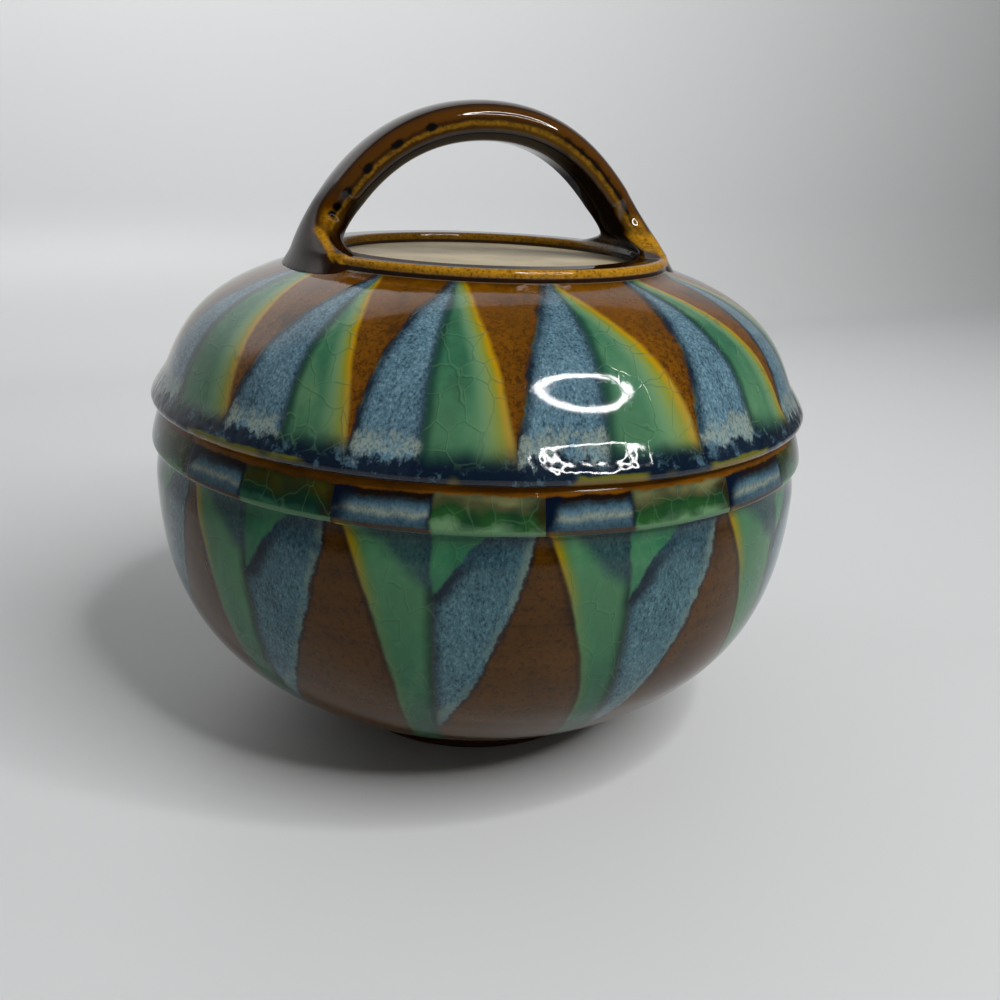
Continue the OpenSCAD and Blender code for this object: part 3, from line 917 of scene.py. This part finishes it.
# How far the disc reaches under the collar ring, and how far below the disc the lid's sweep stops
DISC_LAP = 1 * MM
SWEEP_GAP = 0.15 * MM
# Stretches of the lid's run over which the pooled bead rises and falls
POOL_RISES = (1.5 * MM, 5 * MM)
POOL_FALLS = (6.5 * MM, 12 * MM)
# Size of the patches in which a wall wanders
BOWL_PATCH = 55 * MM
LID_PATCH = 50 * MM


class CASSEROLE_OT_bowl(bpy.types.Operator):
    """Throw the bowl with its ridge, rim band and seat"""
    bl_idname = "casserole.bowl"
    bl_label = "Throw bowl"

    def execute(self, context):
        s = context.scene.pot_sizes
        foot = BOWL_FOOT
        floor = foot + s.floor_t
        base = Vector((s.base_r, foot))
        belly = [base, base + towards(BASE_REACH, BASE_SLOPE),
                 (s.belly_r, s.belly_z - BELLY_REACH), (s.belly_r, s.belly_z)]
        nose = arc((RIDGE_R - s.ridge_round, s.ridge_z), s.ridge_round, *NOSE_ARC, steps=10)
        rise = (s.ridge_z - s.belly_z) / 3
        neck = [belly[3], (s.belly_r, s.belly_z + rise), nose[0] - Vector((0, rise)), nose[0]]
        band_top = RIDGE_R - s.band_lean
        band_h = BOWL_SEAT - s.ridge_z
        band = [nose[-1], nose[-1] + towards(band_h / 3, BAND_SLOPE),
                (band_top + s.band_lean / 3, BOWL_SEAT), (band_top, BOWL_SEAT)]
        inner_r = s.belly_r - s.bowl_wall
        lip = BOWL_SEAT - s.mouth_depth
        ease = MOUTH_EASE * s.mouth_depth
        mouth = [(s.mouth_r, lip), (s.mouth_r, lip - ease), (inner_r, s.belly_z + ease), (inner_r, s.belly_z)]
        wall = [p for p in beside(belly, s.bowl_wall, WALL_STEPS) if p.y > floor + CORNER_ROOM]
        well = Vector((wall[0].x - (wall[0].y - floor) / math.tan(math.radians(BASE_SLOPE)), floor))
        base_corner = soft_corner(belly[1], base, (0, foot), BOWL_SOFT)
        outside = joined(curve(band, SHORT_STEPS)[::-1], nose[::-1], curve(neck, SHORT_STEPS)[::-1],
                         curve(belly, WALL_STEPS)[::-1][:-1], base_corner)
        under = joined(outside[-1:], straight(outside[-1], (0, foot), steps=24))
        mouth_corner = soft_corner((band_top, BOWL_SEAT), (s.mouth_r, BOWL_SEAT), (s.mouth_r, lip), BOWL_SOFT)
        inside = joined([(band_top, BOWL_SEAT)], mouth_corner, curve(mouth, SHORT_STEPS), wall[::-1],
                        soft_corner(wall[0], well, (0, floor), WELL_ROUND, steps=10),
                        straight(well - Vector((WELL_ROUND, 0)), (0, floor), steps=16))
        outer = run_lengths(outside)
        lower = [outer[-1] + run for run in run_lengths(under)]
        inner = [-run for run in run_lengths(inside)]
        outline = inside[::-1] + outside[1:] + under[1:]
        marks = inner[::-1] + outer[1:] + lower[1:]
        piece = thrown("bowl_body", outline, marks)
        ridge_run = outer[min(range(len(outside)), key=lambda i: abs(outside[i].y - s.ridge_z))]
        hand_worked(piece, s.unevenness, BOWL_PATCH, (ridge_run + 6 * MM, ridge_run + 22 * MM),
                    (outer[-1] - 20 * MM, outer[-1] - 4 * MM))
        smooth(piece)
        dress(piece, bowl_glaze(ridge_run / MM, outer[-1] / MM), "bowl", "bowl_glaze", "bowl")
        return {"FINISHED"}


class CASSEROLE_OT_foot(bpy.types.Operator):
    """Trim the foot ring that the pot stands on"""
    bl_idname = "casserole.foot"
    bl_label = "Trim foot"

    def execute(self, context):
        s = context.scene.pot_sizes
        top = BOWL_FOOT
        inner = s.foot_r - s.foot_w
        corners = [(inner, top), (inner + s.foot_slant, 0), (s.foot_r - s.foot_slant, 0), (s.foot_r, top)]
        outline = joined(straight(corners[0], corners[1], steps=6)[:-1],
                         soft_corner(*corners[0:3], FOOT_SOFT), soft_corner(*corners[1:4], FOOT_SOFT),
                         straight(corners[2], corners[3], steps=6)[1:])
        piece = thrown("foot", outline, run_lengths(outline), loop=True)
        smooth(piece)
        # The foot's clay at half brightness: painted shade under the pot
        dress(piece, bare_clay("foot_clay", 51.0, 0.5), "bowl", "bare_clay", "foot_ring")
        return {"FINISHED"}


def collar_bead(s):
    centre = (s.collar_r - s.collar_round, COLLAR_TOP - s.collar_round)
    return arc(centre, s.collar_round, *BEAD_ARC, steps=12)


def collar_sweep(s):
    """The hollow curve from the lid's shoulder up to the collar ring's bead."""
    crown = Vector((s.collar_r + s.collar_sweep, LID_SHOULDER))
    bead = collar_bead(s)[0]
    start = towards(SWEEP_SHARE * s.collar_sweep, 180 + SHOULDER_SLOPE)
    return [crown, crown + start, bead - SWEEP_END, bead]


def swollen(outline, runs, thick):
    """The outline with a bead of glaze that has run down and pooled above the lid's edge."""
    made = [outline[0]]
    for before, point, after, run in zip(outline, outline[1:], outline[2:], runs[1:]):
        along = (after - before).normalized()
        share = plateau(run, POOL_RISES, POOL_FALLS)
        made.append(point + thick * share * Vector((along.y, -along.x)))
    return made + [outline[-1]]


class CASSEROLE_OT_lid(bpy.types.Operator):
    """Throw the domed lid with its rounded edge"""
    bl_idname = "casserole.lid"
    bl_label = "Throw lid"

    def execute(self, context):
        s = context.scene.pot_sizes
        crown_r = s.collar_r + s.collar_sweep
        crown = Vector((crown_r, LID_SHOULDER))
        centre = Vector((s.lid_r - s.edge_round, BOWL_SEAT + s.edge_round))
        edge = arc(centre, s.edge_round, *EDGE_ARC, steps=12)
        dome = [edge[-1], edge[-1] + towards(EDGE_REACH, EDGE_ARC[1] + 90),
                crown + towards(SHOULDER_REACH, SHOULDER_SLOPE), crown]
        hollow_r = s.flange_r - s.flange_w
        hollow = [p for p in beside(dome, s.lid_wall, WALL_STEPS) if p.x < hollow_r - CORNER_ROOM]
        shelf = Vector((hollow_r, hollow[0].y - (hollow_r - hollow[0].x)))
        top = LID_SHOULDER - s.lid_wall
        disc = LID_SHOULDER + s.disc_rise
        disc_r = s.collar_r - s.collar_w + DISC_LAP
        sweep = [p for p in curve(collar_sweep(s), 2 * SHORT_STEPS) if p.y < disc - SWEEP_GAP]
        outside = joined(edge, curve(dome, WALL_STEPS), sweep, straight((disc_r, disc), (0, disc), steps=40))
        seat = (hollow_r, BOWL_SEAT)
        inside = joined(straight(edge[0], seat, steps=8), straight(seat, shelf, steps=4)[:-1],
                        soft_corner(seat, shelf, hollow[0], HOLLOW_SOFT), hollow,
                        straight(hollow[-1], (0, top), steps=30))
        outer = run_lengths(outside)
        outside = swollen(outside, outer, s.edge_pool)
        inner = [-run for run in run_lengths(inside)]
        lid_run = outer[min(range(len(outside)), key=lambda i: (outside[i] - sweep[-1]).length)]
        piece = thrown("lid_dome", inside[::-1] + outside[1:], inner[::-1] + outer[1:])
        hand_worked(piece, s.unevenness, LID_PATCH, (5 * MM, 18 * MM), (lid_run - 14 * MM, lid_run - 2 * MM))
        smooth(piece)
        dress(piece, lid_glaze(lid_run / MM), "lid", "lid_glaze", "lid")
        return {"FINISHED"}


class CASSEROLE_OT_flange(bpy.types.Operator):
    """Turn the flange that keeps the lid in the mouth"""
    bl_idname = "casserole.flange"
    bl_label = "Turn flange"

    def execute(self, context):
        s = context.scene.pot_sizes
        low = BOWL_SEAT - s.flange_h
        inner = s.flange_r - s.flange_w
        corners = [(inner, BOWL_SEAT), (inner, low), (s.flange_r - CHAMFER, low), (s.flange_r, low + CHAMFER),
                   (s.flange_r, BOWL_SEAT)]
        outline = joined(straight(corners[0], corners[1], steps=6)[:-1],
                         soft_corner(*corners[0:3], FLANGE_SOFT),
                         soft_corner(*corners[1:4], CHAMFER_SOFT), soft_corner(*corners[2:5], CHAMFER_SOFT),
                         straight(corners[3], corners[4], steps=6)[2:])
        piece = thrown("flange", outline, run_lengths(outline), loop=True)
        smooth(piece)
        dress(piece, bare_clay("flange_clay", 61.0), "lid", "bare_clay", "lid_flange")
        return {"FINISHED"}


# The pulled handle

STRAP_SIDES = 72
LEG_STEPS = 110
VOXEL = 0.55 * MM
# How squarely the strap's inner and outer halves are filled, 2 being an ellipse
STRAP_SQUARE = 4.0
STRAP_CROWN = 2.2
GROOVE_PLACE = 0.1
GROOVE_SHARE = 0.06
# The strap's middle line: its shift along x, the lean of its legs in degrees, how much more the right
# one leans than the mean, and how far the curve holds the slope of the legs and of the arch
HANDLE_SHIFT = -1 * MM
LEG_LEAN = 32
LEG_SKEW = 6
LEG_REACH = 18.2 * MM
ARCH_REACH = 29 * MM
# Rings stand closer together near the roots
RING_CROWDING = 1.25
ROUTE_STEPS = 120
# A root stands a little outside the middle of the collar ring, sinks into it and is pushed out and widened
ROOT_SHIFT = 1 * MM
ROOT_SINKS = 6
ROOT_PUSH = 3.4 * MM
ROOT_PUSH_CURVE = 1.3
ROOT_WIDENING = 8
# The collar ring's foot: its lift off the shoulder, its step out from the bead and its slant up to it
COLLAR_LIFT = 0.6 * MM
COLLAR_STEP = 0.7 * MM
COLLAR_SLANT = Vector((-0.3 * MM, 1.4 * MM))
# Pits along the front and back grooves: share of the way up a leg, and half length
RIGHT_PITS = ((0.2, 0.02), (0.275, 0.025), (0.352, 0.035), (0.44, 0.02), (0.528, 0.035), (0.62, 0.02),
              (0.698, 0.022))
LEFT_PITS = ((0.178, 0.018), (0.222, 0.026), (0.302, 0.036), (0.438, 0.036), (0.602, 0.038), (0.757, 0.032))
# How much a pit deepens its groove, how wide it is across the strap and how squarely its face must lie
PIT_DEPTH = 0.2
PIT_WIDTH = 0.26
PIT_FACING = 0.35


def root_radius(s):
    """Distance of a root's middle from the pot's axis."""
    return s.collar_r - s.collar_w / 2 + ROOT_SHIFT


def leg_route(side, s):
    """The middle line of the right or left leg, from its root to the top of the arch."""
    arch = HANDLE_TOP - COLLAR_TOP - s.strap_t / 2
    lean = math.radians(LEG_LEAN + LEG_SKEW * side)
    root = side * root_radius(s)
    return [(HANDLE_SHIFT + root, 0),
            (HANDLE_SHIFT + root - side * LEG_REACH * math.sin(lean), LEG_REACH * math.cos(lean)),
            (HANDLE_SHIFT + side * ARCH_REACH, arch), (HANDLE_SHIFT, arch)]


def pit_depth(side, t):
    """How deep in a pit a place along a leg is, 0 to about 1."""
    pits = RIGHT_PITS if side > 0 else LEFT_PITS
    return sum(math.exp(-((t - place) / half) ** 2) for place, half in pits)


def leg_place(side, t, s):
    """Where the strap's middle is, its direction outward, its thickness and its share of root."""
    route = leg_route(side, s)
    place = bezier(route, t)
    share = max(0, 1 - place.y / s.root_h)
    along = slope(route, t)
    along = Vector((side * along.x, along.y)).normalized() * (1 - share ** 2) + Vector((0, 1)) * share ** 2
    out = Vector((along.y, -along.x)).normalized()
    return place, out, s.strap_t - (s.strap_t - s.root_t) * share ** 4, share


def strap_ring(side, t, s):
    """One ring of the strap: the root bends with the collar ring, the strap runs straight."""
    root_r = root_radius(s)
    place, out, thick, share = leg_place(side, t, s)
    deep = s.strap_depth + 2 * s.root_spread * share ** ROOT_FLARE
    ring = []
    for i in range(STRAP_SIDES):
        a = TURN * i / STRAP_SIDES
        fill = 2 / (STRAP_CROWN if math.cos(a) > 0 else STRAP_SQUARE)
        u = math.copysign(abs(math.cos(a)) ** fill, math.cos(a))
        v = math.copysign(abs(math.sin(a)) ** fill, math.sin(a))
        groove = math.exp(-((u - GROOVE_PLACE) / (2 * GROOVE_SHARE)) ** 2)
        dip = s.groove * groove * (1 - share) * (1 + PIT_DEPTH * pit_depth(side, t))
        q, w = u * (s.strap_t if u > 0 else thick) / 2, v * (deep / 2 - dip)
        angle = share * w / root_r
        pull = (root_r + q) * (1 - math.cos(angle))
        y = (1 - share) * w + share * (root_r + q) * math.sin(angle)
        ring.append((place.x + side * (q * out.x - pull), y, COLLAR_TOP + place.y + q * out.y))
    return ring


def sunk_root(side, s):
    """Rings that carry a root down the outside of the collar ring, spreading on to the lid."""
    made = []
    for sink in range(ROOT_SINKS, 0, -1):
        depth = sink * MM
        push = ROOT_PUSH * (sink / ROOT_SINKS) ** ROOT_PUSH_CURVE
        ring = []
        for x, y, z in strap_ring(side, 0, s):
            reach = math.hypot(x, y)
            outer = ramped(reach, s.collar_r - s.collar_w / 2, s.collar_r)
            grown = (reach + push * outer) / reach
            ring.append((x * grown, y * grown * (1 + ROOT_WIDENING * depth), z - depth))
        made.append(ring)
    return made


def pulled_strap(s):
    """Leaves the strap selected: one closed skin from the foot of one root to the foot of the other."""
    shares = [(i / LEG_STEPS) ** RING_CROWDING for i in range(LEG_STEPS + 1)]
    rings = sunk_root(1, s) + [strap_ring(1, t, s) for t in shares]
    rings += [strap_ring(-1, t, s) for t in shares[-2::-1]] + sunk_root(-1, s)[::-1]
    last = (len(rings) - 1) * STRAP_SIDES
    faces = [list(range(STRAP_SIDES))[::-1], [last + i for i in range(STRAP_SIDES)]]
    for k in range(len(rings) - 1):
        for i in range(STRAP_SIDES):
            a, b = k * STRAP_SIDES + i, k * STRAP_SIDES + (i + 1) % STRAP_SIDES
            faces.append((a, b, b + STRAP_SIDES, a + STRAP_SIDES))
    mesh = bpy.data.meshes.new("strap")
    mesh.from_pydata([p for ring in rings for p in ring], [], faces)
    strap = bpy.data.objects.new("strap", mesh)
    bpy.context.scene.collection.objects.link(strap)
    deselect()
    strap.select_set(True)
    bpy.context.view_layer.objects.active = strap
    bpy.ops.object.mode_set(mode="EDIT")
    bpy.ops.mesh.select_all(action="SELECT")
    bpy.ops.mesh.normals_make_consistent(inside=False)
    bpy.ops.object.mode_set(mode="OBJECT")


def neighbour_mean(values, edges, count):
    """Each vertex's mean over the vertices that it shares an edge with."""
    total = np.zeros_like(values)
    for a, b in ((0, 1), (1, 0)):
        for axis in range(values.shape[1]):
            total[:, axis] += np.bincount(edges[:, a], values[edges[:, b], axis], len(values))
    return total / count[:, None]


def mark_strap(piece, s):
    """Keeps how far out across the strap each place lies, how much it faces front or back, and the pits."""
    mesh = piece.data
    total = len(mesh.vertices)
    places = np.zeros(total * 3)
    mesh.vertices.foreach_get("co", places)
    places = places.reshape(-1, 3)
    normals = np.zeros(total * 3, np.float32)
    mesh.vertex_normals.foreach_get("vector", normals)
    front = np.abs(normals.reshape(-1, 3)[:, 1])
    edges = np.zeros(len(mesh.edges) * 2, np.int32)
    mesh.edges.foreach_get("vertices", edges)
    edges = edges.reshape(-1, 2)
    count = np.bincount(edges.ravel(), minlength=total).astype(float)
    for _ in range(3):
        front = neighbour_mean(front[:, None], edges, count)[:, 0]
    across = np.zeros(total)
    nearest = np.full(total, np.inf)
    pits = np.zeros(total)
    for side in (1, -1):
        for i in range(ROUTE_STEPS + 1):
            t = i / ROUTE_STEPS
            place, out, thick, _ = leg_place(side, t, s)
            off_x = places[:, 0] - place.x
            off_z = places[:, 2] - COLLAR_TOP - place.y
            away = np.hypot(off_x, off_z)
            closer = away < nearest
            nearest[closer] = away[closer]
            outward = (off_x * side * out.x + off_z * out.y) / (thick / 2)
            across[closer] = outward[closer]
            pits[closer] = pit_depth(side, t)
    pits = pits * np.exp(-((across - GROOVE_PLACE) / PIT_WIDTH) ** 2) * (front > PIT_FACING)
    for name, values in (("across", across), ("front", front), ("pits", pits)):
        mesh.attributes.new(name, "FLOAT", "POINT").data.foreach_set("value", values.astype(np.float32))


class CASSEROLE_OT_handle(bpy.types.Operator):
    """Pull the strap handle and work its roots into the collar ring"""
    bl_idname = "casserole.handle"
    bl_label = "Pull handle"

    def execute(self, context):
        s = context.scene.pot_sizes
        inner = s.collar_r - s.collar_w
        bead_r = s.collar_round
        bead = collar_bead(s)
        bead_z = COLLAR_TOP - bead_r
        under = LID_SHOULDER + COLLAR_LIFT
        foot = Vector((bead[0].x + COLLAR_STEP, under))
        outline = joined([foot, foot + COLLAR_SLANT], bead,
                         arc((inner + bead_r, bead_z), bead_r, 90, 180, steps=8),
                         straight((inner, bead_z), (inner, under), steps=6),
                         straight((inner, under), foot, steps=10)[:-1])
        collar = thrown("handle_and_collar", outline, run_lengths(outline), loop=True)
        pulled_strap(s)
        collar.select_set(True)
        context.view_layer.objects.active = collar
        bpy.ops.object.join()
        knit = collar.modifiers.new("knit", "REMESH")
        knit.mode = "VOXEL"
        knit.voxel_size = VOXEL
        ease = collar.modifiers.new("ease", "SMOOTH")
        ease.factor = 0.5
        ease.iterations = 6
        apply_all(collar)
        mark_strap(collar, s)
        smooth(collar, degrees=60)
        dress(collar, handle_glaze(), "lid", "handle_glaze", "collar_ring", "handle")
        return {"FINISHED"}


# Studio, in metres and radians

CAMERA_AWAY = 0.32762
CAMERA_HEIGHT = 0.18135
CAMERA_YAW = 0.02445
CAMERA_PITCH = 0.3353
CAMERA_ROLL = 0.0451
CAMERA_SENSOR = 36
CAMERA_NEAR = 0.01
POT_TURN = math.radians(16)
LAMP_BEARING = math.radians(46.5)
LAMP_HEIGHT = math.radians(48)
LAMP_AWAY = 0.95
LAMP_RING_R = 0.215
LAMP_TUBE = 0.056
LAMP_COUNT = 24
LAMP_OVERLAP = 1.12
LAMP_AIM = Vector((0, 0, 0.1))
WASH_WIDTH = 1.6
WASH_HEIGHT = 0.3
WASH_BACK = 0.1
WASH_UP = 0.75
WASH_TILT = Vector((0, 0, 0.08))
AIR = (1.0, 0.99, 0.97, 1)
FLOOR_FRONT = -3.0
FLOOR_HALF = 3.0
FLOOR_ROUGHNESS = 0.45
BACKDROP_AT = 0.62
BACKDROP_H = 1.1
BACKDROP_BEND = 0.12
BEND_STEPS = 12


class CASSEROLE_OT_studio(bpy.types.Operator):
    """Set up the floor, the backdrop, the lamps and the camera"""
    bl_idname = "casserole.studio"
    bl_label = "Set up studio"

    def execute(self, context):
        studio = context.scene.studio_settings
        self.lay_floor(studio)
        self.hang_lamps(studio)
        self.place_camera(context.scene, studio)
        context.scene.view_settings.view_transform = "Standard"
        return {"FINISHED"}

    def lay_floor(self, studio):
        """A pale sheet: flat under the pot and swept up behind it."""
        deselect()
        bpy.ops.mesh.primitive_plane_add(size=1, location=(0, 0, 0))
        floor = bpy.context.active_object
        floor.name = "floor"
        bend = arc((BACKDROP_AT - BACKDROP_BEND, BACKDROP_BEND), BACKDROP_BEND, -90, 0, BEND_STEPS)
        route = [(FLOOR_FRONT, 0), *bend, (BACKDROP_AT, BACKDROP_H)]
        draw_line([(-FLOOR_HALF, y, z) for y, z in route])
        bpy.ops.mesh.select_all(action="SELECT")
        bpy.ops.mesh.extrude_region_move(TRANSFORM_OT_translate={"value": (2 * FLOOR_HALF, 0, 0)})
        bpy.ops.mesh.select_all(action="SELECT")
        bpy.ops.mesh.normals_make_consistent(inside=False)
        bpy.ops.transform.rotate(value=-POT_TURN, orient_axis="Z", center_override=(0, 0, 0))
        bpy.ops.object.mode_set(mode="OBJECT")
        smooth(floor)
        material = bpy.data.materials.new("floor_paint")
        material.use_nodes = True
        shader = material.node_tree.nodes["Principled BSDF"]
        shader.inputs["Base Color"].default_value = (*studio.floor, 1)
        shader.inputs["Roughness"].default_value = FLOOR_ROUGHNESS
        floor.data.materials.append(material)

    @staticmethod
    def hang(name, width, height, power, spot, face):
        """One flat lamp, turned to face the pot or the backdrop."""
        lamp = bpy.data.lights.new(name, "AREA")
        lamp.shape = "RECTANGLE"
        lamp.size = width
        lamp.size_y = height
        lamp.energy = power
        holder = bpy.data.objects.new(name, lamp)
        bpy.context.scene.collection.objects.link(holder)
        holder.matrix_world = Matrix.Translation(spot) @ face.to_4x4()

    def hang_lamps(self, studio):
        """A ring lamp in front of the pot to the right, a lamp on the backdrop and soft light all round."""
        bearing = LAMP_BEARING - POT_TURN
        aim = Vector((math.sin(bearing) * math.cos(LAMP_HEIGHT), -math.cos(bearing) * math.cos(LAMP_HEIGHT),
                      math.sin(LAMP_HEIGHT)))
        heart = LAMP_AIM + aim * LAMP_AWAY
        face = aim.to_track_quat("Z", "Y").to_matrix()
        chord = 2 * LAMP_RING_R * math.sin(math.pi / LAMP_COUNT) * LAMP_OVERLAP
        power = studio.ring_power / LAMP_COUNT
        for i in range(LAMP_COUNT):
            turn = TURN * i / LAMP_COUNT
            spot = heart + face @ (LAMP_RING_R * Vector((math.cos(turn), math.sin(turn), 0)))
            spin = Matrix.Rotation(turn + math.pi / 2, 3, "Z")
            self.hang("ring_lamp_%02d" % i, chord, LAMP_TUBE, power, spot, face @ spin)
        back = Vector((math.sin(POT_TURN), math.cos(POT_TURN), 0))
        face = (-back + WASH_TILT).to_track_quat("Z", "Y").to_matrix()
        spot = back * WASH_BACK + Vector((0, 0, WASH_UP))
        self.hang("backdrop_lamp", WASH_WIDTH, WASH_HEIGHT, studio.backdrop_power, spot, face)
        world = bpy.data.worlds.new("studio_air")
        world.use_nodes = True
        air = world.node_tree.nodes["Background"]
        air.inputs["Color"].default_value = AIR
        air.inputs["Strength"].default_value = studio.sky
        bpy.context.scene.world = world

    def place_camera(self, scene, studio):
        """A camera close in front of the pot, a little above it and slightly rolled."""
        yaw = CAMERA_YAW + POT_TURN
        ahead = Vector((math.sin(yaw) * math.cos(CAMERA_PITCH), math.cos(yaw) * math.cos(CAMERA_PITCH),
                        -math.sin(CAMERA_PITCH)))
        level = Vector((math.cos(yaw), -math.sin(yaw), 0))
        upright = level.cross(ahead)
        right = math.cos(CAMERA_ROLL) * level + math.sin(CAMERA_ROLL) * upright
        up = -math.sin(CAMERA_ROLL) * level + math.cos(CAMERA_ROLL) * upright
        lens = bpy.data.cameras.new("camera")
        lens.lens = studio.lens
        lens.sensor_width = CAMERA_SENSOR
        lens.clip_start = CAMERA_NEAR
        camera = bpy.data.objects.new("camera", lens)
        scene.collection.objects.link(camera)
        turn = Matrix((right, up, -ahead)).transposed().to_4x4()
        place = (-CAMERA_AWAY * math.sin(POT_TURN), -CAMERA_AWAY * math.cos(POT_TURN), CAMERA_HEIGHT)
        camera.matrix_world = Matrix.Translation(place) @ turn
        scene.camera = camera


STEPS = ("bowl", "foot", "lid", "flange", "handle", "studio")


class CASSEROLE_PT_panel(bpy.types.Panel):
    """Lists the steps and their sizes and colours"""
    bl_label = "Casserole"
    bl_idname = "CASSEROLE_PT_panel"
    bl_space_type = "VIEW_3D"
    bl_region_type = "UI"
    bl_category = "Casserole"

    def draw(self, context):
        layout = self.layout
        for step in STEPS:
            layout.operator("casserole." + step)
        for group in glaze_settings():
            box = layout.box()
            for name in group.__annotations__:
                box.prop(group, name)


CLASSES = (PotSizes, GlazeColours, StudioSettings, CASSEROLE_OT_bowl, CASSEROLE_OT_foot, CASSEROLE_OT_lid,
           CASSEROLE_OT_flange, CASSEROLE_OT_handle, CASSEROLE_OT_studio, CASSEROLE_PT_panel)


def register():
    for kind in CLASSES:
        bpy.utils.register_class(kind)
    bpy.types.Scene.pot_sizes = bpy.props.PointerProperty(type=PotSizes)
    bpy.types.Scene.glaze_colours = bpy.props.PointerProperty(type=GlazeColours)
    bpy.types.Scene.studio_settings = bpy.props.PointerProperty(type=StudioSettings)


def unregister():
    del bpy.types.Scene.pot_sizes
    del bpy.types.Scene.glaze_colours
    del bpy.types.Scene.studio_settings
    for kind in reversed(CLASSES):
        bpy.utils.unregister_class(kind)


def main():
    register()
    for step in STEPS:
        getattr(bpy.ops.casserole, step)()


if __name__ == "__main__":
    main()
